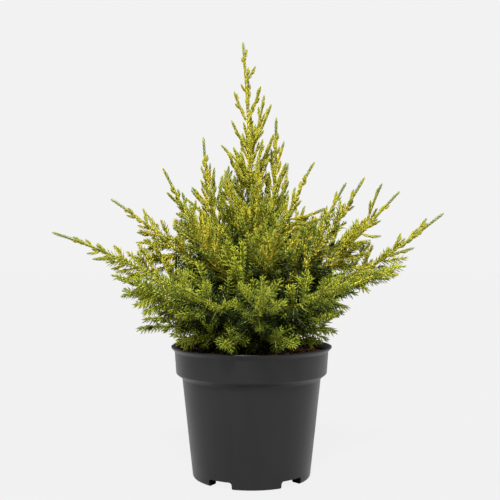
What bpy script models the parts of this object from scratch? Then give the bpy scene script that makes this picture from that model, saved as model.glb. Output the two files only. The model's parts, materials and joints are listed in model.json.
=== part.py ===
"""A golden spreading conifer in a round black nursery pot, for Blender 4.5.

Metres, +Z up. The origin is the centre of the pot's underside, on the surface that the pot stands on.
The pot is a turned shell on five feet, filled with compost. A short leaning trunk runs up through the
foliage. Tapering boughs leave it all round, and each ends just short of the plume of foliage that it
carries. A plume is one stem, swollen where its foliage is dense, with twigs and toothed blades fused on.
A blade stands for one spray of needles.
"""

import math
import random
from collections import namedtuple

import bmesh
import bpy
from mathutils import Matrix, Vector
from mathutils.bvhtree import BVHTree

# ---------------------------------------------------------------- driving dimensions

CLEAR = 0.0003  # gap kept wherever one solid meets another

POT_HEIGHT = 0.154
POT_LIP_RADIUS = 0.095
POT_LIP_DEPTH = 0.0062
POT_WALL = 0.0014
COLLAR_TOP_RADIUS = 0.0914
COLLAR_FOOT_RADIUS = 0.0891
COLLAR_FOOT = 0.1218  # height of the collar's lower edge
STEP_DROP = 0.0056  # the collar steps in to the body over this height
BODY_TOP_RADIUS = 0.0820
BODY_FOOT_RADIUS = 0.0693
POT_CORNER = 0.0030
POT_STEPS = 40

FOOT_COUNT = 5
FOOT_HEIGHT = 0.0090
FOOT_INNER_RADIUS = 0.0560
FIRST_FOOT_AZIMUTH = 275.0
NOTCH_WIDTH = 0.0300
NOTCH_HEIGHT = 0.0084
NOTCH_DEPTH = 0.0340
FLOOR_THICKNESS = 0.0016
DRAIN_RADIUS = 0.0045
DRAIN_RING_RADIUS = 0.0430

COMPOST_EDGE = 0.1430  # height of the compost at the pot's wall
COMPOST_CROWN = 0.1500  # height of the mound round the trunk
COMPOST_GAP = 0.0006
COMPOST_STEPS = 20  # POT_STEPS is a multiple, so that the two rings of corners line up

TRUNK_FOOT = COMPOST_CROWN + CLEAR
TRUNK_TOP = 0.330
TRUNK_RADIUS = 0.0072
TRUNK_TIP_RADIUS = 0.0023
FLARE_RADIUS = 0.0105
FLARE_HEIGHT = 0.014
TRUNK_SWAY = 0.0012  # how far the trunk wanders off a straight line
LEADER_TIP = Vector((-0.0100, 0.0, 0.5110))

BOUGH_FOOT_RADIUS = 0.0031
BOUGH_TIP_RADIUS = 0.0019
STEM_TIP_RADIUS = 0.0006
HEART_SHARE = 0.40  # a stem swells to this share of its plume's half width
HEART_ROOM = 0.26  # and to this share of its distance from the bare middle round the trunk
BARE_MIDDLE = 0.014

GOLDEN_ANGLE = math.radians(137.508)
SEED = 41

# Each plume grows from the trunk at the height foot, in the direction azimuth (0 is +X, 90 is +Y), to a
# tip at the distance reach from the pot's axis and the height tip. leave and arrive are the limb's
# slopes in degrees at the trunk and at the tip, width is the plume's half width at its widest, bough is
# the share of the limb that is bare bough (0: the plume's stem meets the trunk), and sprays is how many
# times the stem carries a blade or a twig.
Plume = namedtuple("Plume", "azimuth foot reach tip leave arrive width bough sprays")

LEADER = Plume(0, TRUNK_TOP, 0, LEADER_TIP.z, 90, 90, 0.026, 0, 9)

UPPER = {
    "upper_right": Plume(26, 0.262, 0.0333, 0.4240, 48, 88, 0.026, 0, 6),
    "upper_left": Plume(161, 0.234, 0.0615, 0.4015, 38, 87, 0.035, 0, 7),
    "upper_back_left": Plume(108, 0.272, 0.0520, 0.3860, 50, 80, 0.030, 0, 6),
    "upper_back_right": Plume(52, 0.236, 0.0740, 0.3735, 50, 78, 0.024, 0, 6),
    "upper_front_left": Plume(226, 0.262, 0.0440, 0.3560, 42, 82, 0.025, 0, 6),
    "upper_front": Plume(278, 0.244, 0.0560, 0.3720, 50, 76, 0.032, 0, 6),
    "upper_front_right": Plume(-18, 0.228, 0.0756, 0.3669, 52, 57, 0.019, 0, 6),
}

MIDDLE = {
    "mid_right_back": Plume(24, 0.207, 0.1287, 0.3492, 20, 57, 0.036, 0.22, 7),
    "mid_right": Plume(2, 0.197, 0.1758, 0.3353, 20, 47, 0.036, 0.22, 7),
    "mid_front_right": Plume(-28, 0.202, 0.1406, 0.3453, 22, 57, 0.038, 0.22, 7),
    "mid_front": Plume(285, 0.210, 0.1230, 0.3040, 24, 52, 0.046, 0.22, 8),
    "mid_front_left": Plume(236, 0.202, 0.1250, 0.3130, 26, 54, 0.046, 0.22, 8),
    "mid_left_front": Plume(198, 0.214, 0.1063, 0.3590, 28, 61, 0.040, 0, 7),
    "mid_left": Plume(170, 0.197, 0.1728, 0.3278, 34, 33, 0.036, 0.22, 7),
    "mid_back_left": Plume(127, 0.208, 0.1360, 0.3240, 26, 54, 0.045, 0.22, 7),
    "mid_back": Plume(97, 0.198, 0.1400, 0.3300, 26, 58, 0.046, 0.22, 7),
    "mid_back_right": Plume(60, 0.210, 0.1420, 0.3240, 24, 54, 0.046, 0.22, 7),
}

LOW = {
    "low_right": Plume(4.7, 0.183, 0.2314, 0.3096, 14, 38, 0.037, 0.24, 8),
    "low_right_front": Plume(-13, 0.172, 0.1784, 0.2478, 14, 12, 0.042, 0.24, 7),
    "low_front_right": Plume(309, 0.180, 0.1590, 0.2320, 14, 18, 0.040, 0.24, 7),
    "low_front": Plume(274, 0.171, 0.1900, 0.2300, 14, 16, 0.048, 0.24, 8),
    "low_front_left": Plume(240, 0.181, 0.1820, 0.2380, 14, 20, 0.048, 0.24, 7),
    "low_left_front": Plume(212, 0.172, 0.1760, 0.2390, 16, 18, 0.048, 0.24, 7),
    "low_left": Plume(184.2, 0.183, 0.2312, 0.2864, 23, 18, 0.037, 0.24, 8),
    "low_left_back": Plume(150, 0.173, 0.1930, 0.2130, 14, 12, 0.048, 0.24, 7),
    "low_back": Plume(94, 0.181, 0.1900, 0.2420, 14, 18, 0.050, 0.24, 8),
    "low_back_right": Plume(46, 0.173, 0.1880, 0.2620, 16, 24, 0.050, 0.24, 7),
    "inner_front": Plume(258, 0.189, 0.0900, 0.2560, 22, 58, 0.040, 0, 8),
}

# The skirt hangs over the pot's lip on short stems that leave the trunk between the low boughs.
SKIRT_AZIMUTHS = (25, 75, 120, 165, 191, 226, 255, 293, 325)
SKIRT = Plume(0, 0.1580, 0.1150, 0.1650, 18, -8, 0.036, 0, 6)
SKIRT_REACH_AND_TIP = {
    25: (0.1250, 0.1880),
    165: (0.1430, 0.1690),
    191: (0.1250, 0.1850),
    325: (0.1120, 0.1760),
}

# Half of a blade's outline, root to apex: how far along and how far out, as shares of its length.
BLADE_OUTLINE = ((0.0, 0.0), (0.40, 0.26), (0.50, 0.13), (0.74, 0.20), (1.0, 0.0))
BLADE_MIDDLE = 0.44
BLADE_THICKNESS = 0.11
BLADE_GAP = 0.0006  # gap kept round a new blade or twig
TWIG_FOOT_RADIUS = 0.0012
TWIG_TIP_RADIUS = 0.0007

# ---------------------------------------------------------------- scene, collections and materials

for stale in list(bpy.data.objects):
    bpy.data.objects.remove(stale)

plant = bpy.data.collections.new("potted_conifer")
bpy.context.scene.collection.children.link(plant)
cutters = bpy.data.collections.new("cutters")
cutters.hide_render = True
bpy.context.scene.collection.children.link(cutters)

footprint = bpy.data.objects.new("footprint_centre", None)
plant.objects.link(footprint)


def material(name, colour, roughness):
    made = bpy.data.materials.new(name)
    made.use_nodes = True
    shader = made.node_tree.nodes["Principled BSDF"]
    shader.inputs["Base Color"].default_value = (*colour, 1.0)
    shader.inputs["Roughness"].default_value = roughness
    shader.inputs["Metallic"].default_value = 0.0
    return made


POT_PLASTIC = material("pot_plastic", (0.028, 0.028, 0.029), 0.45)
COMPOST_BROWN = material("compost", (0.045, 0.026, 0.015), 0.95)
BARK = material("bark", (0.16, 0.085, 0.045), 0.85)
GOLD_FOLIAGE = material("gold_foliage", (0.36, 0.31, 0.05), 0.55)
GREEN_FOLIAGE = material("green_foliage", (0.13, 0.19, 0.035), 0.55)


def put(name, mesh, finish, collection=plant):
    """A new object in the collection, with one material, that moves with the footprint's centre."""
    obj = bpy.data.objects.new(name, mesh)
    mesh.materials.clear()
    mesh.materials.append(finish)
    obj.parent = footprint
    collection.objects.link(obj)
    return obj


def mesh_from(name, made):
    """Turns a finished bmesh into a mesh."""
    mesh = bpy.data.meshes.new(name)
    made.to_mesh(mesh)
    made.free()
    return mesh


def finished_mesh(obj):
    """A new mesh of the object as its modifiers leave it."""
    bpy.context.view_layer.update()
    graph = bpy.context.evaluated_depsgraph_get()
    return bpy.data.meshes.new_from_object(obj.evaluated_get(graph))


def azimuth_vector(degrees):
    return Vector((math.cos(math.radians(degrees)), math.sin(math.radians(degrees)), 0.0))


# ---------------------------------------------------------------- pot and compost


def turned(name, profile, steps, finish):
    """A solid turned about Z from a profile that starts and ends on the axis and runs down its outer side."""
    mesh = bpy.data.meshes.new(name)
    corners = [(radius, 0.0, height) for radius, height in profile]
    mesh.from_pydata(corners, [(k, k + 1) for k in range(len(corners) - 1)], [])
    obj = put(name, mesh, finish)
    screw = obj.modifiers.new("turn", "SCREW")
    screw.steps = steps
    screw.render_steps = steps
    screw.use_merge_vertices = True
    screw.merge_threshold = 0.00005
    return obj


def body_radius(height):
    """The outer radius of the pot's tapered body at a height."""
    share = height / (COLLAR_FOOT - STEP_DROP)
    return BODY_FOOT_RADIUS + (BODY_TOP_RADIUS - BODY_FOOT_RADIUS) * share


def collar_radius(height):
    """The outer radius of the pot's collar at a height."""
    share = (height - COLLAR_FOOT) / (POT_HEIGHT - COLLAR_FOOT)
    return COLLAR_FOOT_RADIUS + (COLLAR_TOP_RADIUS - COLLAR_FOOT_RADIUS) * share


FLOOR_TOP = FOOT_HEIGHT + FLOOR_THICKNESS
LIP_FOOT = POT_HEIGHT - POT_LIP_DEPTH


def lining(inset, lift):
    """The inside of the pot from the floor up to the collar, moved in by inset and up off the floor by lift."""
    return [
        (0.0, FLOOR_TOP + lift),
        (body_radius(FLOOR_TOP) - inset - POT_CORNER, FLOOR_TOP + lift),
        (body_radius(FLOOR_TOP + POT_CORNER) - inset, FLOOR_TOP + POT_CORNER + lift),
        (BODY_TOP_RADIUS - inset, COLLAR_FOOT - STEP_DROP + inset),
        (COLLAR_FOOT_RADIUS - inset, COLLAR_FOOT + inset),
    ]


def pot_profile():
    inside = lining(POT_WALL, 0.0)
    lip = [
        (collar_radius(LIP_FOOT) - POT_WALL, LIP_FOOT),
        (POT_LIP_RADIUS - 0.0020, POT_HEIGHT),
        (POT_LIP_RADIUS - 0.0004, POT_HEIGHT - 0.0004),
        (POT_LIP_RADIUS, POT_HEIGHT - 0.0016),
        (collar_radius(LIP_FOOT), LIP_FOOT),
    ]
    outside = [
        (COLLAR_FOOT_RADIUS, COLLAR_FOOT),
        (BODY_TOP_RADIUS, COLLAR_FOOT - STEP_DROP),
        (body_radius(POT_CORNER), POT_CORNER),
        (body_radius(0.0) - POT_CORNER * 0.30, POT_CORNER * 0.30),
        (body_radius(0.0) - POT_CORNER, 0.0),
        (FOOT_INNER_RADIUS, 0.0),
        (FOOT_INNER_RADIUS - 0.0008, FOOT_HEIGHT),
        (0.0, FOOT_HEIGHT),
    ]
    return inside + lip + outside


def compost_profile():
    inset = POT_WALL + COMPOST_GAP
    mound = [
        (0.0, COMPOST_CROWN),
        (FLARE_RADIUS + 0.004, COMPOST_CROWN),
        (0.046, COMPOST_CROWN - 0.0035),
        (collar_radius(COMPOST_EDGE) - inset, COMPOST_EDGE),
    ]
    return mound + lining(inset, COMPOST_GAP)[::-1]


def notch_mesh():
    """A box that opens the ring of feet and so leaves a gap between two of them."""
    below = 0.005
    made = bmesh.new()
    bmesh.ops.create_cube(made, size=1.0)
    bmesh.ops.scale(made, vec=(NOTCH_DEPTH, NOTCH_WIDTH, NOTCH_HEIGHT + below), verts=made.verts)
    bmesh.ops.translate(made, vec=(0.0, 0.0, (NOTCH_HEIGHT - below) / 2), verts=made.verts)
    return mesh_from("notch", made)


def drain_mesh():
    """A peg that cuts one round drain hole through the pot's floor."""
    made = bmesh.new()
    bmesh.ops.create_cone(
        made, cap_ends=True, segments=12, radius1=DRAIN_RADIUS, radius2=DRAIN_RADIUS, depth=0.012
    )
    bmesh.ops.translate(made, vec=(0.0, 0.0, FLOOR_TOP), verts=made.verts)
    return mesh_from("drain", made)


def cut(obj, name, mesh, radius, azimuth):
    """Cuts the object with the mesh, set that far out from the axis and turned to face it."""
    cutter = put(name, mesh, POT_PLASTIC, cutters)
    cutter.location = azimuth_vector(azimuth) * radius
    cutter.rotation_euler.z = math.radians(azimuth)
    cutter.hide_render = True
    cutter.display_type = "WIRE"
    boolean = obj.modifiers.new(name, "BOOLEAN")
    boolean.operation = "DIFFERENCE"
    boolean.solver = "EXACT"
    boolean.object = cutter


def make_pot():
    pot = turned("pot", pot_profile(), POT_STEPS, POT_PLASTIC)
    notch, drain = notch_mesh(), drain_mesh()
    for k in range(FOOT_COUNT):
        azimuth = FIRST_FOOT_AZIMUTH + (k + 0.5) * 360.0 / FOOT_COUNT
        cut(pot, f"notch_{k + 1}", notch, FOOT_INNER_RADIUS - 0.005 + NOTCH_DEPTH / 2, azimuth)
        cut(pot, f"drain_{k + 1}", drain, DRAIN_RING_RADIUS, azimuth)
    return pot


def make_compost():
    return turned("compost", compost_profile(), COMPOST_STEPS, COMPOST_BROWN)


# ---------------------------------------------------------------- limbs


def tube(name, points, radii, roundness, finish):
    """A limb along the points, as a closed mesh. Roundness 1 gives six sides and 2 eight."""
    curve = bpy.data.curves.new(name, "CURVE")
    curve.dimensions = "3D"
    curve.bevel_depth = 1.0  # so that a point's radius is in metres
    curve.bevel_resolution = roundness
    curve.use_fill_caps = True
    spline = curve.splines.new("POLY")
    spline.points.add(len(points) - 1)
    for point, place, radius in zip(spline.points, points, radii):
        point.co = (*place, 1.0)
        point.radius = radius
    guide = bpy.data.objects.new(name, curve)
    plant.objects.link(guide)
    mesh = finished_mesh(guide)
    bpy.data.objects.remove(guide)
    made = bmesh.new()
    made.from_mesh(mesh)
    bmesh.ops.remove_doubles(made, verts=made.verts, dist=0.00001)
    made.to_mesh(mesh)
    made.free()
    mesh.shade_smooth()
    mesh.set_sharp_from_angle(angle=math.radians(50))
    return put(name, mesh, finish)


def trunk_point(height):
    """The trunk's centre line: it leans towards the leader's tip, with a slight sway."""
    share = max(0.0, (height - TRUNK_FOOT) / (LEADER_TIP.z - TRUNK_FOOT))
    sway = TRUNK_SWAY * math.sin(2 * math.pi * share)
    return Vector((LEADER_TIP.x * share**5 + sway * 0.8, sway * 0.5, height))


def trunk_radius(height):
    share = (height - TRUNK_FOOT) / (TRUNK_TOP - TRUNK_FOOT)
    shaft = TRUNK_RADIUS + (TRUNK_TIP_RADIUS - TRUNK_RADIUS) * share
    flare = max(0.0, 1.0 - (height - TRUNK_FOOT) / FLARE_HEIGHT)
    return shaft + (FLARE_RADIUS - TRUNK_RADIUS) * flare**2


def make_trunk():
    shaft_foot = TRUNK_FOOT + FLARE_HEIGHT
    heights = [TRUNK_FOOT, TRUNK_FOOT + FLARE_HEIGHT / 3]
    heights += [shaft_foot + (TRUNK_TOP - shaft_foot) * k / 5 for k in range(6)]
    points = [trunk_point(height) for height in heights]
    points[1].xy = points[0].xy  # a level cut at the compost
    return tube("trunk", points, [trunk_radius(height) for height in heights], 2, BARK)


def slope(outward, degrees):
    """A unit direction that far above the level, leaning outward."""
    angle = math.radians(degrees)
    return outward * math.cos(angle) + Vector((0, 0, 1)) * math.sin(angle)


class Axis:
    """The line of one limb, as a cubic from the trunk's centre line to the plume's tip."""

    def __init__(self, a, b, c, d):
        self.frame = (a, b, c, d)
        self.span = (d - a).length

    def at(self, t):
        a, b, c, d = self.frame
        u = 1.0 - t
        return a * u**3 + b * (3 * u * u * t) + c * (3 * u * t * t) + d * t**3

    def direction(self, t):
        return (self.at(min(1.0, t + 0.01)) - self.at(max(0.0, t - 0.01))).normalized()


def plume_axis(plume):
    start = trunk_point(plume.foot)
    tip = azimuth_vector(plume.azimuth) * plume.reach + Vector((0, 0, plume.tip))
    heading = Vector((tip.x - start.x, tip.y - start.y, 0.0)).normalized()
    third = (tip - start).length / 3
    leaving = start + slope(heading, plume.leave) * third
    arriving = tip - slope(heading, plume.arrive) * third
    return Axis(start, leaving, arriving, tip)


def leader_axis():
    foot = TRUNK_TOP + CLEAR
    return Axis(*(trunk_point(foot + (LEADER_TIP.z - foot) * k / 3) for k in range(4)))


def clear_of_trunk(axis, radius):
    """How far along the axis a limb of this radius starts, to stand just clear of the trunk."""
    t = 0.0
    while t < 0.5:
        point = axis.at(t)
        off = (point - trunk_point(point.z)).xy.length
        if off > trunk_radius(point.z) + radius * abs(axis.direction(t).z) + 2 * CLEAR:
            break
        t += 0.002
    return t


def make_bough(name, axis, start, end):
    points = [axis.at(start + (end - start) * k / 3) for k in range(4)]
    radii = [BOUGH_FOOT_RADIUS + (BOUGH_TIP_RADIUS - BOUGH_FOOT_RADIUS) * k / 3 for k in range(4)]
    return tube(name, points, radii, 1, BARK)


# ---------------------------------------------------------------- clearance between solids

standing = []  # the owner, search tree and box of each solid that is already placed


def surface(mesh, swell=0.0):
    """A search tree and the box of a mesh, grown by swell along its normals."""
    points = [v.co + v.normal * swell for v in mesh.vertices]
    low = [min(p[k] for p in points) for k in range(3)]
    high = [max(p[k] for p in points) for k in range(3)]
    return BVHTree.FromPolygons(points, [tuple(p.vertices) for p in mesh.polygons]), low, high


def stand(obj):
    standing.append((obj.name, *surface(finished_mesh(obj))))


def touches_another(owner, tree, low, high):
    for other, other_tree, other_low, other_high in standing:
        apart = any(low[k] > other_high[k] or high[k] < other_low[k] for k in range(3))
        if other != owner and not apart and tree.overlap(other_tree):
            return True
    return False


# ---------------------------------------------------------------- blades and twigs


def blade_mesh(root, direction, side, length, breadth=1.0):
    """A spray of needles: a toothed blade, thickest in its middle, that spreads towards side."""
    outline = list(BLADE_OUTLINE) + [(along, -out) for along, out in BLADE_OUTLINE[-2:0:-1]]
    made = bmesh.new()
    bmesh.ops.create_uvsphere(made, u_segments=len(outline), v_segments=2, radius=1.0)
    poles = [v for v in made.verts if abs(v.co.z) > 0.5]
    rim = [v for v in made.verts if abs(v.co.z) < 0.5]
    rim.sort(key=lambda v: math.atan2(v.co.y, v.co.x) % (2 * math.pi))
    for vertex, (along, out) in zip(rim, reversed(outline)):
        vertex.co = Vector((along, out * breadth, 0.0)) * length
    for vertex in poles:
        vertex.co = Vector((BLADE_MIDDLE, 0.0, math.copysign(BLADE_THICKNESS, vertex.co.z))) * length
    across = (side - direction * side.dot(direction)).normalized()
    turn = Matrix((direction, across, direction.cross(across))).transposed().to_4x4()
    bmesh.ops.transform(made, matrix=Matrix.Translation(root) @ turn, verts=made.verts)
    bmesh.ops.recalc_face_normals(made, faces=made.faces)
    return mesh_from("blade", made)


def twig_mesh(root, direction, length):
    """A three-sided tapering twig, with its foot sunk past the root."""
    made = bmesh.new()
    bmesh.ops.create_cone(
        made, cap_ends=True, segments=3, radius1=TWIG_FOOT_RADIUS, radius2=TWIG_TIP_RADIUS, depth=length
    )
    turn = direction.to_track_quat("Z", "Y").to_matrix().to_4x4()
    middle = root + direction * (length / 2 - TWIG_FOOT_RADIUS)
    bmesh.ops.transform(made, matrix=Matrix.Translation(middle) @ turn, verts=made.verts)
    return mesh_from("twig", made)


# ---------------------------------------------------------------- plumes of foliage


class Foliage:
    """One plume: a stem from first to near the axis's tip, and what is fused to it."""

    def __init__(self, name, plume, axis, first, finish):
        self.name = name
        self.plume = plume
        self.axis = axis
        self.first = first
        self.finish = finish
        self.pieces = []
        shares = (0.0, 0.10, 0.30, 0.50, 0.72, 0.97)
        points = [axis.at(self.along(share)) for share in shares]
        self.stem = tube(name, points, [self.heart(share) for share in shares], 1, finish)
        stand(self.stem)

    def along(self, share):
        """Where on the axis a share of the way from the plume's foot to its tip is."""
        return self.first + (1.0 - self.first) * share

    def half_width(self, share):
        swelling = min(1.0, 0.55 + 2.2 * share)
        return 0.0045 + (self.plume.width - 0.0045) * swelling * (1.0 - share) ** 0.75

    def heart(self, share):
        """The stem's radius, swollen where the foliage is too dense to see through."""
        bare = BOUGH_TIP_RADIUS + (STEM_TIP_RADIUS - BOUGH_TIP_RADIUS) * share
        point = self.axis.at(self.along(share))
        room = HEART_ROOM * max(0.0, (point - trunk_point(point.z)).length - BARE_MIDDLE)
        dense = self.plume.width * HEART_SHARE * min(1.0, 8 * share) * (1.0 - share) ** 1.3
        return bare + min(room, dense)

    def add(self, mesh):
        """Keeps a blade or twig if it is clear of every other solid."""
        place = surface(mesh, BLADE_GAP)
        if touches_another(self.name, *place):
            return False
        self.pieces.append(mesh)
        standing.append((self.name, *place))
        return True

    def add_blade(self, root, direction, side, length, breadth=1.0):
        return self.add(blade_mesh(root, direction, side, length, breadth))

    def add_twig(self, root, direction, ahead, length):
        """A side twig with one blade at its end and one on its side."""
        if not self.add(twig_mesh(root, direction, length * 0.55)):
            return False
        side = (ahead - direction * ahead.dot(direction)).normalized()
        self.add_blade(root + direction * length * 0.42, direction, side, length * 0.58, 0.95)
        aside = (direction * 0.80 - side * 0.60).normalized()
        self.add_blade(root + direction * length * 0.26, aside, direction, length * 0.55, 0.95)
        return True

    def side_place(self, share, turn, lean):
        """A root in the heart, a direction that leans off the stem, turned that far round it, and the way ahead."""
        t = self.along(share)
        ahead = self.axis.direction(t)
        level = ahead.cross(Vector((0, 0, 1))).normalized()
        outward = level * math.cos(turn) + level.cross(ahead) * math.sin(turn)
        root = self.axis.at(t) + outward * self.heart(share) * 0.6
        return root, ahead * math.cos(lean) + outward * math.sin(lean), ahead

    def grow(self, rng):
        """Blades all round the stem by the golden angle, with one of them on a twig, and one at the tip."""
        spin = rng.uniform(0, 2 * math.pi)
        for k in range(self.plume.sprays):
            share = 0.02 + 0.88 * ((k + 0.5) / self.plume.sprays) ** 1.25
            lean = math.radians(52 - 24 * share)
            most = 0.9 * self.axis.span * (1.0 - self.along(share)) / math.cos(lean)
            for attempt in range(4):
                turn = spin + GOLDEN_ANGLE * k + 0.8 * attempt
                root, direction, ahead = self.side_place(share, turn, lean)
                length = self.half_width(share) / math.sin(lean) * rng.uniform(0.9, 1.1) * (1.0 - 0.12 * attempt)
                grown = self.add_twig if k == 1 else self.add_blade
                if grown(root, direction, ahead, min(length, most)):
                    break
        root, tip = self.axis.at(self.along(0.90)), self.axis.at(1.0)
        side = self.side_place(0.90, spin, math.pi / 2)[1]
        self.add_blade(root, (tip - root).normalized(), side, (tip - root).length, 0.62)

    def fuse(self):
        """Joins the blades and twigs to the stem with one Boolean union."""
        extras = bpy.data.collections.new(self.name + "_pieces")
        bpy.context.scene.collection.children.link(extras)
        for mesh in self.pieces:
            extras.objects.link(bpy.data.objects.new(self.name + "_piece", mesh))
        union = self.stem.modifiers.new("union", "BOOLEAN")
        union.operation = "UNION"
        union.operand_type = "COLLECTION"
        union.collection = extras
        union.solver = "EXACT"
        fused = finished_mesh(self.stem)
        self.stem.modifiers.remove(union)
        self.stem.data = fused
        fused.materials.clear()
        fused.materials.append(self.finish)
        for extra in list(extras.objects):
            bpy.data.objects.remove(extra)
        bpy.data.collections.remove(extras)


# ---------------------------------------------------------------- the plant, from the trunk outwards


def skirt_plumes():
    plumes = {}
    for k, azimuth in enumerate(SKIRT_AZIMUTHS):
        reach, tip = SKIRT_REACH_AND_TIP.get(azimuth, (SKIRT.reach, SKIRT.tip))
        plumes[f"skirt_{k + 1}"] = SKIRT._replace(azimuth=azimuth, reach=reach, tip=tip)
    return plumes


def place_plume(name, plume, finish):
    """The plume's bough, if it has one, and its foliage's stem."""
    axis = plume_axis(plume)
    first = clear_of_trunk(axis, BOUGH_FOOT_RADIUS if plume.bough else BOUGH_TIP_RADIUS)
    if plume.bough:
        end = first + (1.0 - first) * plume.bough
        bough = make_bough("bough_" + name, axis, first, end)
        stand(bough)
        first = end + CLEAR * 1.3 / axis.span
    return Foliage("foliage_" + name, plume, axis, first, finish)


def make_plant():
    stand(make_trunk())
    masses = [Foliage("foliage_leader", LEADER, leader_axis(), 0.0, GOLD_FOLIAGE)]
    masses += [place_plume(name, plume, GOLD_FOLIAGE) for name, plume in (UPPER | MIDDLE).items()]
    masses += [place_plume(name, plume, GREEN_FOLIAGE) for name, plume in (LOW | skirt_plumes()).items()]
    rng = random.Random(SEED)
    for mass in masses:
        mass.grow(rng)
    for mass in masses:
        mass.fuse()


stand(make_pot())
stand(make_compost())
make_plant()
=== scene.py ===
"""A golden spreading conifer in a black nursery pot. Metres, +Z up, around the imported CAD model."""

import json
import math
from collections import namedtuple

import bmesh
import bpy
import numpy as np
from mathutils import Matrix, Vector, noise

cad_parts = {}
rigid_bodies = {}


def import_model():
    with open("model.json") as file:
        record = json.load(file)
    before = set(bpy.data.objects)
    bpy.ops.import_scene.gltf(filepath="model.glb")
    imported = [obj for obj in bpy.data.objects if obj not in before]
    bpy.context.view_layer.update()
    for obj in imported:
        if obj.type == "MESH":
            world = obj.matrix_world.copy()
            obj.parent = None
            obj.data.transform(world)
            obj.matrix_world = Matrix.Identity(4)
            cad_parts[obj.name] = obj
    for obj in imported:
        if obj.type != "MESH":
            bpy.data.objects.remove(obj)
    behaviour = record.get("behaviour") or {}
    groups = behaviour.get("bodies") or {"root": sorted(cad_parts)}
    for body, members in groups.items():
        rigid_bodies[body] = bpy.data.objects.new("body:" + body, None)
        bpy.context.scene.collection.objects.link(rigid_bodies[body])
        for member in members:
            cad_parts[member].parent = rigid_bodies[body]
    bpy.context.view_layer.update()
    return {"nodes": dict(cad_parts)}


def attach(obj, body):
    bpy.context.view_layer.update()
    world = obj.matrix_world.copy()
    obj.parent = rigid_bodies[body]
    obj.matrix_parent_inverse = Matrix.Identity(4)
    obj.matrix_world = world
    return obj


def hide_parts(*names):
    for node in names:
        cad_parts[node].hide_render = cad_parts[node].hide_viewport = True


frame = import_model()

# ------------------------------------------------------------------------------------------ pot
# A round 3 litre nursery container, 19 cm across its lip. It is injection moulded in one shot from
# recycled black polypropylene: a turned-out lip, a plain collar, a tapered body, and five feet
# left standing between the notches that let water run out from under the floor.

POT_HEIGHT = 0.154
LIP_RADIUS = 0.095
LIP_DEPTH = 0.0062
WALL = 0.0014
COLLAR_TOP_RADIUS = 0.09095
COLLAR_FOOT_RADIUS = 0.0891
COLLAR_FOOT = 0.1218
STEP_DROP = 0.0056
BODY_TOP_RADIUS = 0.0820
BODY_FOOT_RADIUS = 0.0693
FLOOR_TOP = 0.0106
FLOOR_RADIUS = 0.0675
POT_STEPS = 160

FOOT_COUNT = 5
FOOT_HEIGHT = 0.0090
FOOT_INNER_RADIUS = 0.0560
FIRST_FOOT_AZIMUTH = 275.0
NOTCH_SIZE = (0.034, 0.030, 0.0134)
NOTCH_TOP = 0.0084
NOTCH_CORNER = 0.0028
DRAIN_RADIUS = 0.0045
DRAIN_RING_RADIUS = 0.0430


def linear(code):
    """The linear RGBA of an sRGB hex colour."""
    channels = [int(code[k : k + 2], 16) / 255 for k in (1, 3, 5)]
    return (*(c / 12.92 if c <= 0.04045 else ((c + 0.055) / 1.055) ** 2.4 for c in channels), 1.0)


def new_material(name, plain):
    """A material whose Principled shader has those inputs the same all over."""
    made = bpy.data.materials.new(name)
    made.use_nodes = True
    shader = made.node_tree.nodes["Principled BSDF"]
    for key, value in plain.items():
        shader.inputs[key].default_value = value
    return made


def add(tree, kind, inputs=None, **settings):
    """Adds a node with its settings. An input is linked if it is given a socket, and set otherwise."""
    made = tree.nodes.new(kind)
    for key, value in settings.items():
        setattr(made, key, value)
    for key, value in (inputs or {}).items():
        if isinstance(value, bpy.types.NodeSocket):
            tree.links.new(value, made.inputs[key])
        else:
            made.inputs[key].default_value = value
    return made


def set_ramp(ramp, *stops):
    """Gives a Color Ramp node its stops, each a position and a hex colour."""
    elements = ramp.color_ramp.elements
    while len(elements) < len(stops):
        elements.new(1.0)
    for element, (position, code) in zip(elements, stops):
        element.position = position
        element.color = linear(code)


def finish_piece(name, mesh, finish, slot, *nodes):
    """Puts a mesh in the scene as a piece of the plant, in place of those CAD nodes."""
    piece = bpy.data.objects.new(name, mesh)
    bpy.context.scene.collection.objects.link(piece)
    mesh.materials.clear()
    mesh.materials.append(finish)
    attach(piece, "root")
    if nodes:
        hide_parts(*nodes)


def mesh_of(name, made, smooth_below=None):
    """Turns a finished bmesh into a mesh, smooth across edges under that many degrees."""
    mesh = bpy.data.meshes.new(name)
    made.to_mesh(mesh)
    made.free()
    if smooth_below:
        mesh.shade_smooth()
        mesh.set_sharp_from_angle(angle=math.radians(smooth_below))
    return mesh


def rounded(corners):
    """A profile through corners of radius, height and rounding, each rounding a curve of five points."""
    points = []
    for k, (radius, height, rounding) in enumerate(corners):
        here = Vector((radius, 0.0, height))
        if not rounding:
            points.append(here)
            continue
        before = (Vector((corners[k - 1][0], 0.0, corners[k - 1][1])) - here).normalized() * rounding
        after = (Vector((corners[k + 1][0], 0.0, corners[k + 1][1])) - here).normalized() * rounding
        for step in range(5):
            t = step / 4
            points.append(here + before * (1 - t) ** 2 + after * t**2)
    return points


def turned(profile, steps):
    """A closed bmesh turned about Z from a profile that starts and ends on the axis."""
    made = bmesh.new()
    corners = [made.verts.new(point) for point in profile]
    edges = [made.edges.new(pair) for pair in zip(corners, corners[1:])]
    about_z = {"cent": (0, 0, 0), "axis": (0, 0, 1), "angle": 2 * math.pi}
    bmesh.ops.spin(made, geom=corners + edges, steps=steps, use_merge=True, **about_z)
    bmesh.ops.remove_doubles(made, verts=made.verts, dist=0.00002)
    bmesh.ops.recalc_face_normals(made, faces=made.faces)
    return made


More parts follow.
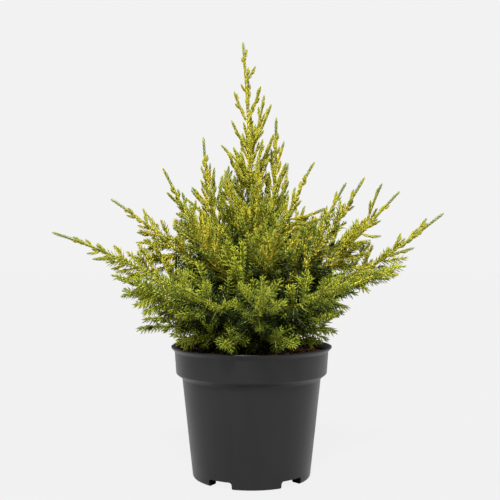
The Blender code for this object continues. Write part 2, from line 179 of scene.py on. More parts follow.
lip_foot = POT_HEIGHT - LIP_DEPTH
pot_profile = rounded(
    [
        (0.0, FLOOR_TOP, 0),
        (FLOOR_RADIUS, FLOOR_TOP, 0.0025),
        (BODY_TOP_RADIUS - WALL, COLLAR_FOOT - STEP_DROP + WALL, 0.0008),
        (COLLAR_FOOT_RADIUS - WALL, COLLAR_FOOT + WALL, 0.0008),
        (COLLAR_TOP_RADIUS - WALL, lip_foot, 0.0012),
        (LIP_RADIUS - 0.0024, POT_HEIGHT, 0.0010),
        (LIP_RADIUS, POT_HEIGHT - 0.0006, 0.0007),
        (LIP_RADIUS - 0.0002, POT_HEIGHT - 0.0024, 0.0006),
        (COLLAR_TOP_RADIUS, lip_foot, 0.0014),
        (COLLAR_FOOT_RADIUS, COLLAR_FOOT, 0.0011),
        (BODY_TOP_RADIUS, COLLAR_FOOT - STEP_DROP, 0.0012),
        (BODY_FOOT_RADIUS, 0.0, 0.0030),
        (FOOT_INNER_RADIUS, 0.0, 0.0008),
        (FOOT_INNER_RADIUS - 0.0008, FOOT_HEIGHT, 0.0006),
        (0.0, FOOT_HEIGHT, 0),
    ]
)


def cutter(name, made, radius, azimuth):
    """A hidden object that cuts the pot, set out from the axis on that azimuth."""
    turn = Matrix.Rotation(math.radians(azimuth), 4, "Z") @ Matrix.Translation((radius, 0.0, 0.0))
    bmesh.ops.transform(made, matrix=turn, verts=made.verts)
    return bpy.data.objects.new(name, mesh_of(name, made))


cutters = bpy.data.collections.new("pot_cutters")
for k in range(FOOT_COUNT):
    azimuth = FIRST_FOOT_AZIMUTH + (k + 0.5) * 360 / FOOT_COUNT
    notch = bmesh.new()
    bmesh.ops.create_cube(notch, size=1.0)
    bmesh.ops.scale(notch, vec=NOTCH_SIZE, verts=notch.verts)
    bmesh.ops.translate(notch, vec=(0, 0, NOTCH_TOP - NOTCH_SIZE[2] / 2), verts=notch.verts)
    top_edges = [edge for edge in notch.edges if min(vertex.co.z for vertex in edge.verts) > 0]
    top_corners = [edge for edge in top_edges if abs(edge.verts[0].co.y - edge.verts[1].co.y) < 1e-6]
    bmesh.ops.bevel(
        notch, geom=top_corners, offset=NOTCH_CORNER, affect="EDGES", segments=4, profile=0.5, material=-1
    )
    cutters.objects.link(cutter(f"notch_{k}", notch, FOOT_INNER_RADIUS - 0.005 + NOTCH_SIZE[0] / 2, azimuth))
    drain = bmesh.new()
    bmesh.ops.create_cone(
        drain, cap_ends=True, segments=24, radius1=DRAIN_RADIUS, radius2=DRAIN_RADIUS, depth=0.012
    )
    bmesh.ops.translate(drain, vec=(0, 0, FLOOR_TOP), verts=drain.verts)
    cutters.objects.link(cutter(f"drain_{k}", drain, DRAIN_RING_RADIUS, azimuth))
bpy.context.scene.collection.children.link(cutters)


def cut_by(mesh, collection):
    """The mesh after the objects of the collection are cut out of it. The collection goes."""
    blank = bpy.data.objects.new("blank", mesh)
    bpy.context.scene.collection.objects.link(blank)
    boolean = blank.modifiers.new("cut", "BOOLEAN")
    boolean.operation = "DIFFERENCE"
    boolean.operand_type = "COLLECTION"
    boolean.collection = collection
    boolean.solver = "EXACT"
    bpy.context.view_layer.update()
    done = bpy.data.meshes.new_from_object(blank.evaluated_get(bpy.context.evaluated_depsgraph_get()))
    for stale in [blank, *collection.objects]:
        bpy.data.objects.remove(stale)
    bpy.data.collections.remove(collection)
    return done


pot_mesh = cut_by(mesh_of("pot_blank", turned(pot_profile, POT_STEPS)), cutters)
pot_mesh.shade_smooth()
pot_mesh.set_sharp_from_angle(angle=math.radians(38))

# Moulded polypropylene: near black and satin, with the fine orange peel of a worn mould, which
# breaks up the highlights, faint upright flow marks, and soft smudges of dust, where it is duller.
black_plastic = new_material("moulded_black_polypropylene", {"IOR": 1.49, "Specular IOR Level": 0.38})
tree = black_plastic.node_tree
shader = tree.nodes["Principled BSDF"]
place = add(tree, "ShaderNodeTexCoord").outputs["Object"]
PEEL_MM = 0.9  # coarser than the real 0.3 mm, so that it shows
peel = add(tree, "ShaderNodeTexNoise", {"Vector": place, "Scale": 1000 / PEEL_MM, "Detail": 2.0})
upright = add(tree, "ShaderNodeMapping", {"Vector": place, "Scale": (1.0, 1.0, 0.12)})
FLOW_MARK_MM = 14
flow = add(
    tree, "ShaderNodeTexNoise", {"Vector": upright.outputs[0], "Scale": 1000 / FLOW_MARK_MM, "Detail": 3.0}
)
SMUDGE_MM = 35
smudge = add(
    tree,
    "ShaderNodeTexNoise",
    {"Vector": place, "Scale": 1000 / SMUDGE_MM, "Detail": 5.0, "Roughness": 0.6},
)
tone = add(tree, "ShaderNodeValToRGB", {"Fac": flow.outputs["Fac"]})
set_ramp(tone, (0.35, "#151516"), (0.65, "#181819"))
dust = add(tree, "ShaderNodeValToRGB", {"Fac": smudge.outputs["Fac"]})
set_ramp(dust, (0.55, "#000000"), (0.80, "#303030"))
dusty = add(
    tree,
    "ShaderNodeMix",
    {0: dust.outputs["Color"], 6: tone.outputs["Color"], 7: linear("#3A3937")},
    data_type="RGBA",
)
tree.links.new(dusty.outputs[2], shader.inputs["Base Color"])
gloss = add(tree, "ShaderNodeMapRange", {"Value": smudge.outputs["Fac"], "To Min": 0.30, "To Max": 0.44})
tree.links.new(gloss.outputs[0], shader.inputs["Roughness"])
bump = add(tree, "ShaderNodeBump", {"Height": peel.outputs["Fac"], "Strength": 0.02, "Distance": 0.0002})
tree.links.new(bump.outputs[0], shader.inputs["Normal"])

finish_piece("pot_shell", pot_mesh, black_plastic, "pot", "pot")

# -------------------------------------------------------------------------------------- compost
# Peat-free potting compost of composted bark and coir, filled to a finger's width below the lip and
# mounded a little at the trunk. Its surface is crumbs, and chips of bark and coir lie loose on it.

COMPOST_EDGE = 0.1430
COMPOST_CROWN = 0.1500
COMPOST_RADIUS = 0.0882
COMPOST_RINGS = 56
COMPOST_STEPS = 150
MOUND_RADIUS = 0.046
MOUND_FOOT = 0.1465
MOUND_TOP_RADIUS = 0.0145
FILL_SHOULDER = (0.0785, COMPOST_EDGE - 0.030)
FILL_FOOT = (0.0660, 0.0120)
CRUMB_RELIEF = 0.0011
COARSE_CRUMBS = 420  # in a metre
FINE_CRUMBS = 1100
CHIP_COUNT = 2600
CHIP_SPREAD = 0.0865
CHIP_LIMIT = 0.0868  # no chip's end comes nearer to the pot's wall

rng = np.random.default_rng(7)


def compost_height(radius):
    """The level of the compost that far from the pot's axis, without its crumbs."""
    radii = (MOUND_TOP_RADIUS, MOUND_RADIUS, COMPOST_RADIUS)
    return np.interp(radius, radii, (COMPOST_CROWN, MOUND_FOOT, COMPOST_EDGE))


rings = [COMPOST_RADIUS * k / COMPOST_RINGS for k in range(COMPOST_RINGS + 1)]
fill_profile = [(r, compost_height(r)) for r in rings] + [FILL_SHOULDER, FILL_FOOT, (0.0, FILL_FOOT[1])]
compost = turned([Vector((radius, 0.0, height)) for radius, height in fill_profile], COMPOST_STEPS)
for vertex in compost.verts:
    level = compost_height(vertex.co.xy.length)
    if vertex.co.z > level - 0.0001 and vertex.co.xy.length < COMPOST_RADIUS - 0.0005:
        crumb = noise.noise(vertex.co * COARSE_CRUMBS) + 0.5 * noise.noise(vertex.co * FINE_CRUMBS)
        vertex.co.z += CRUMB_RELIEF * crumb

# Damp compost: dark brown crumbs with lighter fibres, quite without gloss.
crumbly = new_material("damp_bark_compost", {"Roughness": 0.95, "Specular IOR Level": 0.2})
tree = crumbly.node_tree
shader = tree.nodes["Principled BSDF"]
place = add(tree, "ShaderNodeTexCoord").outputs["Object"]
CRUMB_MM = 2.2
crumbs = add(
    tree, "ShaderNodeTexNoise", {"Vector": place, "Scale": 1000 / CRUMB_MM, "Detail": 6.0, "Roughness": 0.7}
)
brown = add(tree, "ShaderNodeValToRGB", {"Fac": crumbs.outputs["Fac"]})
set_ramp(brown, (0.30, "#1A110B"), (0.52, "#3A2417"), (0.70, "#6A4630"))
tree.links.new(brown.outputs["Color"], shader.inputs["Base Color"])
bump = add(tree, "ShaderNodeBump", {"Height": crumbs.outputs["Fac"], "Strength": 0.7, "Distance": 0.001})
tree.links.new(bump.outputs[0], shader.inputs["Normal"])

finish_piece("compost_bed", mesh_of("compost_bed", compost, 180), crumbly, "compost", "compost")


def shape_arrays(made):
    """The corners and triangles of a small closed bmesh, which is then freed."""
    bmesh.ops.triangulate(made, faces=made.faces)
    made.verts.ensure_lookup_table()
    corners = np.array([v.co for v in made.verts])
    faces = np.array([[v.index for v in f.verts] for f in made.faces])
    made.free()
    return corners, faces


def unit(vectors):
    """The vectors at length one."""
    return vectors / np.maximum(np.linalg.norm(vectors, axis=-1, keepdims=True), 1e-12)


def across(ahead, hint):
    """Unit vectors at right angles to ahead, as near to hint as they can be."""
    return unit(hint - ahead * np.sum(hint * ahead, axis=-1, keepdims=True))


def strew(shape, roots, ahead, hint, length, foot, top):
    """Copies of a shape that runs from 0 to 1 along Z: one at each root, pointing ahead, of that length,
    scaled by foot at its root and by top at its end. Gives corners and faces."""
    corners, faces = shape
    side = across(ahead, hint)
    up = np.cross(ahead, side)
    along = corners[None, :, 2, None]
    girth = foot[:, None, None] * (1 - along) + top[:, None, None] * along
    placed = (
        roots[:, None]
        + ahead[:, None] * along * length[:, None, None]
        + side[:, None] * corners[None, :, 0, None] * girth
        + up[:, None] * corners[None, :, 1, None] * girth
    )
    count = len(corners)
    numbered = faces[None] + count * np.arange(len(roots))[:, None, None]
    return placed.reshape(-1, 3), numbered.reshape(-1, 3)


def mesh_from_arrays(name, corners, faces):
    """One mesh from corner and triangle arrays, flat shaded."""
    mesh = bpy.data.meshes.new(name)
    mesh.vertices.add(len(corners))
    mesh.vertices.foreach_set("co", corners.astype(np.float32).ravel())
    mesh.loops.add(faces.size)
    mesh.loops.foreach_set("vertex_index", faces.astype(np.int32).ravel())
    mesh.polygons.add(len(faces))
    mesh.polygons.foreach_set("loop_start", np.arange(0, faces.size, 3, dtype=np.int32))
    mesh.polygons.foreach_set("loop_total", np.full(len(faces), 3, np.int32))
    mesh.update(calc_edges=True)
    mesh.validate()
    return mesh


chip = bmesh.new()
bmesh.ops.create_cone(chip, cap_ends=True, segments=5, radius1=1.0, radius2=0.7, depth=1.0)
bmesh.ops.translate(chip, vec=(0, 0, 0.5), verts=chip.verts)
bmesh.ops.scale(chip, vec=(1.0, 0.45, 1.0), verts=chip.verts)
chip_shape = shape_arrays(chip)

# Each kind of chip: its colour, its roughness and its share of all the chips.
CHIPS = {
    "chips_red_bark": ("#6E4029", 0.85, 0.36),
    "chips_coir": ("#9A6B45", 0.90, 0.22),
    "chips_dark": ("#24170F", 0.80, 0.42),
}
for name, (code, roughness, share) in CHIPS.items():
    count = int(CHIP_COUNT * share)
    radius = CHIP_SPREAD * np.sqrt(rng.uniform(0.02, 1.0, count))
    turn = rng.uniform(0, 2 * math.pi, count)
    level = compost_height(radius) + rng.uniform(0.0, 0.0016, count)
    roots = np.stack([radius * np.cos(turn), radius * np.sin(turn), level], 1)
    ahead = unit(rng.normal(size=(count, 3)) * (1, 1, 0.30))
    length = rng.uniform(0.0016, 0.0058, count)
    inward = np.linalg.norm((roots + ahead * length[:, None])[:, :2], axis=1) < CHIP_LIMIT
    girth = rng.uniform(0.0005, 0.0014, count)
    hint = rng.normal(size=(count, 3))
    strewn = (column[inward] for column in (roots, ahead, hint, length, girth, girth))
    corners, faces = strew(chip_shape, *strewn)
    # Broken bark and fibre, dry on top: matt, each tint plain because a chip is only a few faces.
    dry = new_material("broken_bark_" + name, {"Base Color": linear(code), "Roughness": roughness})
    finish_piece(name, mesh_from_arrays(name, corners, faces), dry, "compost")

# ------------------------------------------------------------------------------ trunk and boughs
# The short leaning trunk flares where it meets the compost, and tapering boughs leave it all round.
# Young bark: thin, brown going to cinnamon, splitting lengthways into narrow papery scales.

CLEAR = 0.0003
TRUNK_FOOT = COMPOST_CROWN + CLEAR
TRUNK_TOP = 0.330
TRUNK_RADIUS = 0.0072
TRUNK_TIP_RADIUS = 0.0023
FLARE_RADIUS = 0.0105
FLARE_HEIGHT = 0.014
TRUNK_SWAY = 0.0012
LEADER_TIP = np.array((-0.0100, 0.0, 0.5110))
BOUGH_FOOT_RADIUS = 0.0031
BOUGH_TIP_RADIUS = 0.0019
BARK_REACH = 0.16  # of the plume: from there to its tip the stem is still green or golden
BARK_TIP_RADIUS = 0.0011
BARK_RELIEF = 0.10  # of the limb's radius, as the knobs' relief is
KNOB_RELIEF = 0.06
SCALES_ACROSS = 900  # bark scales and knobs in a metre
SCALES_LENGTHWAYS = 160
KNOBS = 130
UP = np.array((0.0, 0.0, 1.0))

# Each plume grows from the trunk at the height foot, in the direction azimuth, to a tip at the
# distance reach and the height tip. leave and arrive are the limb's slopes at its two ends, width is
# the plume's half width, and bough is the share of the limb that is bare.
Plume = namedtuple("Plume", "azimuth foot reach tip leave arrive width bough")

UPPER = {
    "upper_right": Plume(26, 0.262, 0.0333, 0.4240, 48, 88, 0.026, 0),
    "upper_left": Plume(161, 0.234, 0.0615, 0.4015, 38, 87, 0.035, 0),
    "upper_back_left": Plume(108, 0.272, 0.0520, 0.3860, 50, 80, 0.030, 0),
    "upper_back_right": Plume(52, 0.236, 0.0740, 0.3735, 50, 78, 0.024, 0),
    "upper_front_left": Plume(226, 0.262, 0.0440, 0.3560, 42, 82, 0.025, 0),
    "upper_front": Plume(278, 0.244, 0.0560, 0.3720, 50, 76, 0.032, 0),
    "upper_front_right": Plume(-18, 0.228, 0.0756, 0.3669, 52, 57, 0.019, 0),
}
MIDDLE = {
    "mid_right_back": Plume(24, 0.207, 0.1287, 0.3492, 20, 57, 0.036, 0.22),
    "mid_right": Plume(2, 0.197, 0.1758, 0.3353, 20, 47, 0.036, 0.22),
    "mid_front_right": Plume(-28, 0.202, 0.1406, 0.3453, 22, 57, 0.038, 0.22),
    "mid_front": Plume(285, 0.210, 0.1230, 0.3040, 24, 52, 0.046, 0.22),
    "mid_front_left": Plume(236, 0.202, 0.1250, 0.3130, 26, 54, 0.046, 0.22),
    "mid_left_front": Plume(198, 0.214, 0.1063, 0.3590, 28, 61, 0.040, 0),
    "mid_left": Plume(170, 0.197, 0.1728, 0.3278, 34, 33, 0.036, 0.22),
    "mid_back_left": Plume(127, 0.208, 0.1360, 0.3240, 26, 54, 0.045, 0.22),
    "mid_back": Plume(97, 0.198, 0.1400, 0.3300, 26, 58, 0.046, 0.22),
    "mid_back_right": Plume(60, 0.210, 0.1420, 0.3240, 24, 54, 0.046, 0.22),
}
LOW = {
    "low_right": Plume(4.7, 0.183, 0.2314, 0.3096, 14, 38, 0.037, 0.24),
    "low_right_front": Plume(-13, 0.172, 0.1784, 0.2478, 14, 12, 0.042, 0.24),
    "low_front_right": Plume(309, 0.180, 0.1590, 0.2320, 14, 18, 0.040, 0.24),
    "low_front": Plume(274, 0.171, 0.1900, 0.2300, 14, 16, 0.048, 0.24),
    "low_front_left": Plume(240, 0.181, 0.1820, 0.2380, 14, 20, 0.048, 0.24),
    "low_left_front": Plume(212, 0.172, 0.1760, 0.2390, 16, 18, 0.048, 0.24),
    "low_left": Plume(184.2, 0.183, 0.2312, 0.2864, 23, 18, 0.037, 0.24),
    "low_left_back": Plume(150, 0.173, 0.1930, 0.2130, 14, 12, 0.048, 0.24),
    "low_back": Plume(94, 0.181, 0.1900, 0.2420, 14, 18, 0.050, 0.24),
    "low_back_right": Plume(46, 0.173, 0.1880, 0.2620, 16, 24, 0.050, 0.24),
    "inner_front": Plume(258, 0.189, 0.0900, 0.2560, 22, 58, 0.040, 0),
}
SKIRT_AZIMUTHS = (25, 75, 120, 165, 191, 226, 255, 293, 325)
SKIRT_LONG = {25: (0.1250, 0.1880), 165: (0.1430, 0.1690), 191: (0.1250, 0.1850), 325: (0.1120, 0.1760)}
SKIRT = {}
for k, azimuth in enumerate(SKIRT_AZIMUTHS):
    reach, tip = SKIRT_LONG.get(azimuth, (0.1150, 0.1650))
    SKIRT[f"skirt_{k + 1}"] = Plume(azimuth, 0.1580, reach, tip, 18, -8, 0.036, 0)
PLUMES = {"leader": Plume(0, TRUNK_TOP, 0, LEADER_TIP[2], 90, 90, 0.026, 0)} | UPPER | MIDDLE | LOW | SKIRT


def trunk_point(height):
    """The trunk's centre line: it leans towards the leader's tip, with a slight sway."""
    share = max(0.0, (height - TRUNK_FOOT) / (LEADER_TIP[2] - TRUNK_FOOT))
    sway = TRUNK_SWAY * math.sin(2 * math.pi * share)
    return np.array((LEADER_TIP[0] * share**5 + sway * 0.8, sway * 0.5, height))


def trunk_radius(height):
    """The trunk's radius at that height: an even taper, and the flare at its foot."""
    share = (height - TRUNK_FOOT) / (TRUNK_TOP - TRUNK_FOOT)
    flare = max(0.0, 1.0 - (height - TRUNK_FOOT) / FLARE_HEIGHT)
    return TRUNK_RADIUS + (TRUNK_TIP_RADIUS - TRUNK_RADIUS) * share + (FLARE_RADIUS - TRUNK_RADIUS) * flare**2


class Axis:
    """The line of one plume, as a cubic from the trunk's centre line to the plume's tip."""

    def __init__(self, plume):
        if plume.leave == 90:
            self.frame = [trunk_point(TRUNK_TOP + (LEADER_TIP[2] - TRUNK_TOP) * k / 3) for k in range(4)]
        else:
            start = trunk_point(plume.foot)
            bearing = math.radians(plume.azimuth)
            tip = np.array((math.cos(bearing) * plume.reach, math.sin(bearing) * plume.reach, plume.tip))
            heading = unit((tip - start) * (1, 1, 0))
            third = np.linalg.norm(tip - start) / 3
            leave, arrive = math.radians(plume.leave), math.radians(plume.arrive)
            leaving = start + (heading * math.cos(leave) + UP * math.sin(leave)) * third
            arriving = tip - (heading * math.cos(arrive) + UP * math.sin(arrive)) * third
            self.frame = [start, leaving, arriving, tip]
        self.span = np.linalg.norm(self.frame[3] - self.frame[0])

    def at(self, t):
        t = np.asarray(t, float)[..., None]
        a, b, c, d = self.frame
        u = 1.0 - t
        return a * u**3 + b * (3 * u * u * t) + c * (3 * u * t * t) + d * t**3

    def direction(self, t):
        return unit(self.at(min(1.0, t + 0.01)) - self.at(max(0.0, t - 0.01)))


def clear_of_trunk(axis, radius):
    """How far along the axis a limb of this radius comes out of the trunk."""
    for t in np.arange(0.0, 0.5, 0.002):
        point = axis.at(t)
        off = np.linalg.norm((point - trunk_point(point[2]))[:2])
        if off > trunk_radius(point[2]) + radius * abs(axis.direction(t)[2]) + 2 * CLEAR:
            return t
    return 0.0


def limb_mesh(name, points, radii, roundness):
    """A round limb along the points, closed at both ends, as a mesh."""
    curve = bpy.data.curves.new(name, "CURVE")
    curve.dimensions = "3D"
    curve.bevel_depth = 1.0
    curve.bevel_resolution = roundness
    curve.use_fill_caps = True
    spline = curve.splines.new("POLY")
    spline.points.add(len(points) - 1)
    for point, where, radius in zip(spline.points, points, radii):
        point.co = (*where, 1.0)
        point.radius = radius
    guide = bpy.data.objects.new(name, curve)
    bpy.context.scene.collection.objects.link(guide)
    bpy.context.view_layer.update()
    mesh = bpy.data.meshes.new_from_object(guide.evaluated_get(bpy.context.evaluated_depsgraph_get()))
    bpy.data.objects.remove(guide)
    return mesh


def joined(name, meshes, smooth_below):
    """One mesh of several, with the loose caps of each merged."""
    made = bmesh.new()
    for mesh in meshes:
        made.from_mesh(mesh)
    bmesh.ops.remove_doubles(made, verts=made.verts, dist=0.000005)
    return mesh_of(name, made, smooth_below)


def add_relief(mesh, centres, radii):
    """Moves a limb's corners in and out by its bark: narrow scales, long in the limb's direction."""
    centres = np.array(centres)
    for vertex in mesh.vertices:
        nearest = int(np.argmin(np.linalg.norm(centres - np.array(vertex.co), axis=1)))
        out = Vector(np.array(vertex.co) - centres[nearest])
        level = vertex.co.xy * SCALES_ACROSS
        scale = noise.noise(Vector((*level, vertex.co.z * SCALES_LENGTHWAYS)))
        knob = noise.noise(vertex.co * KNOBS)
        vertex.co += out.normalized() * radii[nearest] * (BARK_RELIEF * scale + KNOB_RELIEF * knob)


flare_heights = np.linspace(TRUNK_FOOT, TRUNK_FOOT + 0.02, 12)
heights = np.concatenate([flare_heights, np.linspace(TRUNK_FOOT + 0.0225, TRUNK_TOP + 0.006, 72)])
centres = [trunk_point(h) for h in heights]
radii = [trunk_radius(min(h, TRUNK_TOP)) for h in heights]
trunk = limb_mesh("trunk", centres, radii, 9)
add_relief(trunk, centres, radii)
for vertex in trunk.vertices:  # a level cut at the compost
    vertex.co.z = max(vertex.co.z, TRUNK_FOOT - 0.0002)

# Young conifer bark: cinnamon scales with grey-brown edges, dry and matt.
scaly_bark = new_material("young_flaking_bark", {"Roughness": 0.86})
tree = scaly_bark.node_tree
shader = tree.nodes["Principled BSDF"]
place = add(tree, "ShaderNodeTexCoord").outputs["Object"]
SCALE_WIDTH_MM = 1.6
lengthways = add(tree, "ShaderNodeMapping", {"Vector": place, "Scale": (1.0, 1.0, 0.2)})
scales = add(
    tree,
    "ShaderNodeTexNoise",
    {"Vector": lengthways.outputs[0], "Scale": 1000 / SCALE_WIDTH_MM, "Detail": 4.0},
)
tones = add(tree, "ShaderNodeValToRGB", {"Fac": scales.outputs["Fac"]})
set_ramp(tones, (0.30, "#3A2618"), (0.50, "#7A4E2E"), (0.72, "#A07A58"))
tree.links.new(tones.outputs["Color"], shader.inputs["Base Color"])
bump = add(tree, "ShaderNodeBump", {"Height": scales.outputs["Fac"], "Strength": 0.6, "Distance": 0.0006})
tree.links.new(bump.outputs[0], shader.inputs["Normal"])

axes = {name: Axis(plume) for name, plume in PLUMES.items()}
foliage_from = {"leader": 0.0}  # the share of each limb where its bare bough ends
boughs = []
for name, plume in (UPPER | MIDDLE | LOW | SKIRT).items():
    axis = axes[name]
    foot_radius = BOUGH_FOOT_RADIUS if plume.bough else BOUGH_TIP_RADIUS
    out_of_trunk = clear_of_trunk(axis, foot_radius)
    foliage_from[name] = out_of_trunk + (1.0 - out_of_trunk) * plume.bough
    reach = foliage_from[name] + (1.0 - foliage_from[name]) * BARK_REACH
    shares = np.linspace(0.0, 1.0, 30)
    centres = [axis.at(reach * s) for s in shares]
    radii = [foot_radius + (BARK_TIP_RADIUS - foot_radius) * s for s in shares]
    limb = limb_mesh("bough_" + name, centres, radii, 4)
    add_relief(limb, centres, radii)
    boughs.append(limb)
bough_nodes = [node for node in frame["nodes"] if node.startswith("bough_")]
bark_mesh = joined("trunk_and_boughs", [trunk, *boughs], 60)
finish_piece("trunk_and_boughs", bark_mesh, scaly_bark, "bark", "trunk", *bough_nodes)

# --------------------------------------------------------------------------- stems and side shoots
# Each plume is one stem that side shoots leave all round by the golden angle, and each side shoot
# carries short twigs left and right. Stems of this and last year are bare of bark: smooth and golden.

GOLDEN_ANGLE = math.radians(137.508)
SEED = 41

# How the plumes of each tier grow. shoots is the number of side shoots, fullness their length against
# the plume's width, wide and close the degrees they lean at the plume's foot and at its tip, last the
# share of the plume where the last one stands, twig_gap the metres between two twigs, twig_share a
# twig's length against its side shoot's, and young and grown the shares where the needles change.
Habit = namedtuple("Habit", "shoots fullness wide close last twig_gap twig_share young grown")
HABITS = {
    "leader": Habit(9, 0.80, 26, 17, 0.45, 0.0105, 0.30, 0.00, 0.00),
    "upper": Habit(28, 1.12, 32, 18, 0.84, 0.0125, 0.30, 0.00, 0.32),
    "mid": Habit(23, 1.16, 40, 22, 0.84, 0.0150, 0.38, 0.12, 0.66),
    "arm": Habit(20, 1.10, 42, 20, 0.86, 0.0150, 0.34, 0.20, 0.56),
    "low": Habit(18, 1.15, 52, 32, 0.88, 0.0270, 0.55, 0.62, 0.92),
    "inner": Habit(14, 1.08, 54, 36, 0.90, 0.0270, 0.55, 0.95, 1.20),
    "skirt": Habit(13, 1.15, 54, 36, 0.90, 0.0240, 0.55, 1.20, 1.40),
}

ARMS = ("low_left", "low_right", "mid_left", "mid_right")  # grown long and clear of the rest


def habit_of(name):
    """How the plume of that name grows."""
    return HABITS["arm" if name in ARMS else name.split("_")[0]]


# The long shoots that stand clear of the crown or close its gaps, in front and behind. Each is the percent
# of the plume where it stands, the azimuth and the slope in which it grows, and its length in millimetres.
LONG_SHOOTS = {
    "leader": (
        (24, 0, 78, 77), (30, 342, 64, 58), (47, 180, 67, 41), (50, 15, 70, 42), (29, 196, 59, 41),
        (18, 170, 40, 44), (75, 0, 60, 20), (68, 180, 57, 10), (4, 18, 67, 63), (27, 290, 66, 30),
        (18, 109, 70, 42), (63, 81, 69, 26), (55, 275, 67, 27), (40, 84, 65, 36), (31, 281, 56, 31),
        (10, 350, 64, 60), (0, 190, 66, 44), (0, 350, 66, 50), (2, 230, 70, 48), (2, 310, 72, 64),
        (6, 160, 66, 52), (8, 30, 72, 42), (0, 270, 62, 50), (82, 185, 84, 18), (74, 355, 82, 18),
        (88, 10, 84, 14), (2, 195, 60, 56), (0, 5, 56, 32), (20, 0, 70, 28), (22, 185, 66, 26),
    ),
    "upper_right": (
        (64, 21, 71, 32), (45, 19, 63, 39), (57, 230, 77, 32), (77, 180, 82, 14), (34, 180, 80, 40),
        (22, 190, 72, 40), (50, 350, 64, 30),
    ),
    "upper_left": (
        (71, 153, 63, 18), (67, 290, 77, 26), (59, 199, 61, 23), (54, 74, 79, 31), (47, 196, 46, 40),
        (34, 200, 62, 44), (24, 192, 48, 46), (40, 330, 74, 34), (42, 198, 36, 44), (52, 194, 44, 34),
        (50, 350, 76, 42), (42, 345, 78, 67), (52, 190, 60, 26), (32, 184, 50, 42), (62, 350, 80, 30),
    ),
    "upper_front": (
        (4, 200, 52, 46), (18, 230, 70, 46), (5, 240, 55, 52), (12, 320, 64, 60), (25, 350, 66, 46),
        (6, 180, 50, 40), (3, 290, 48, 56), (2, 345, 50, 54), (2, 205, 44, 52), (2, 268, 78, 60),
        (6, 300, 80, 58), (10, 250, 76, 52),
    ),
    "upper_front_right": (
        (40, 350, 30, 40), (50, 352, 16, 48), (36, 345, 24, 48), (27, 352, 12, 44), (55, 320, 40, 22),
        (50, 0, 84, 28), (62, 20, 80, 20), (46, 352, 8, 46), (42, 330, 62, 30), (30, 350, 46, 44),
    ),
    "upper_back_right": (
        (50, 52, 76, 22), (60, 20, 60, 24), (40, 20, 64, 38), (28, 0, 56, 42), (30, 0, 50, 48),
    ),
    "mid_right_back": ((80, 51, 72, 14), (68, 324, 45, 12)),
    "mid_right": (
        (66, 332, 68, 54), (69, 40, 52, 23), (65, 336, 25, 20), (50, 343, 9, 24), (47, 38, 59, 36),
        (38, 20, 66, 26), (44, 345, 48, 36), (32, 350, 30, 40), (36, 0, 4, 39), (28, 350, -4, 50),
        (42, 10, 60, 36), (48, 10, 56, 34), (46, 350, 12, 28), (60, 10, 60, 24), (60, 350, -8, 24),
    ),
    "mid_front_right": ((72, 26, 24, 13), (65, 68, 68, 21), (45, 350, 40, 22)),
    "mid_front": ((20, 205, 50, 48), (12, 235, 58, 56), (30, 225, 64, 44)),
    "mid_left_front": (
        (72, 198, 43, 24), (63, 215, 23, 18), (67, 120, 66, 27), (46, 192, 40, 40), (38, 185, 62, 34),
        (30, 190, 30, 44), (22, 186, 22, 50), (56, 190, 58, 36), (40, 188, 38, 44), (62, 340, 74, 24),
    ),
    "mid_left": (
        (76, 205, 12, 12), (55, 204, 11, 23), (48, 199, -4, 35), (40, 194, 6, 30), (33, 190, -12, 42),
        (28, 196, -22, 46), (60, 140, 62, 20), (66, 150, 72, 20), (62, 196, 14, 16), (54, 192, 8, 26),
        (44, 188, -14, 36), (36, 188, -26, 36), (30, 192, 0, 44), (28, 185, 66, 26),
    ),
    "mid_back_left": ((12, 125, -14, 60), (22, 140, -24, 56), (30, 110, -20, 50)),
    "low_right": (
        (79, 22, 52, 24), (70, 338, 32, 23), (64, 50, 61, 20), (58, 347, 15, 30), (74, 340, 40, 18),
        (80, 30, 32, 16), (72, 20, 46, 20), (50, 342, 8, 34), (38, 346, -4, 40), (30, 20, 36, 36),
        (62, 20, 44, 20), (42, 350, -10, 36),
    ),
    "low_right_front": (
        (83, 16, 28, 22), (77, 342, -2, 18), (65, 19, -12, 18), (60, 0, -40, 14), (30, 342, -22, 28),
        (26, 330, -40, 24), (70, 5, -6, 22), (45, 0, 20, 30),
    ),
    "low_left_front": (
        (55, 195, -22, 30), (65, 192, -14, 24), (45, 198, -28, 34), (38, 188, -16, 38),
        (72, 196, -24, 24), (55, 185, 30, 34), (48, 190, 10, 36),
    ),
    "low_left": (
        (77, 163, 26, 21), (66, 143, 39, 15), (62, 200, -14, 20), (68, 196, -10, 16), (57, 198, -2, 24),
        (52, 210, -3, 22), (43, 203, -12, 25), (38, 150, 40, 24), (50, 204, -20, 20), (40, 198, -30, 22),
        (35, 168, 58, 28), (26, 195, -20, 30), (34, 196, -14, 24),
    ),
    "low_left_back": ((60, 175, -14, 22), (70, 170, 20, 34), (60, 175, 34, 36)),
    "inner_front": (
        (50, 240, 70, 52), (40, 205, 66, 54), (60, 275, 74, 50), (35, 300, 62, 52), (70, 215, 62, 40),
    ),
    "skirt_1": ((25, 62, 14, 44), (20, 350, 10, 40), (35, 8, -10, 40), (30, 338, -8, 36)),
    "skirt_2": ((30, 55, 10, 40), (50, 48, 18, 34)),
    "skirt_3": ((35, 152, 4, 40), (50, 140, 16, 34)),
    "skirt_4": ((35, 150, -4, 40), (45, 190, -12, 30)),
    "skirt_5": ((30, 205, -22, 34), (20, 180, -8, 40)),
    "skirt_9": (
        (30, 345, -12, 40), (48, 335, -18, 34), (66, 350, -26, 24), (55, 10, 24, 34), (70, 15, 30, 28),
        (80, 345, 42, 22),
    ),
}

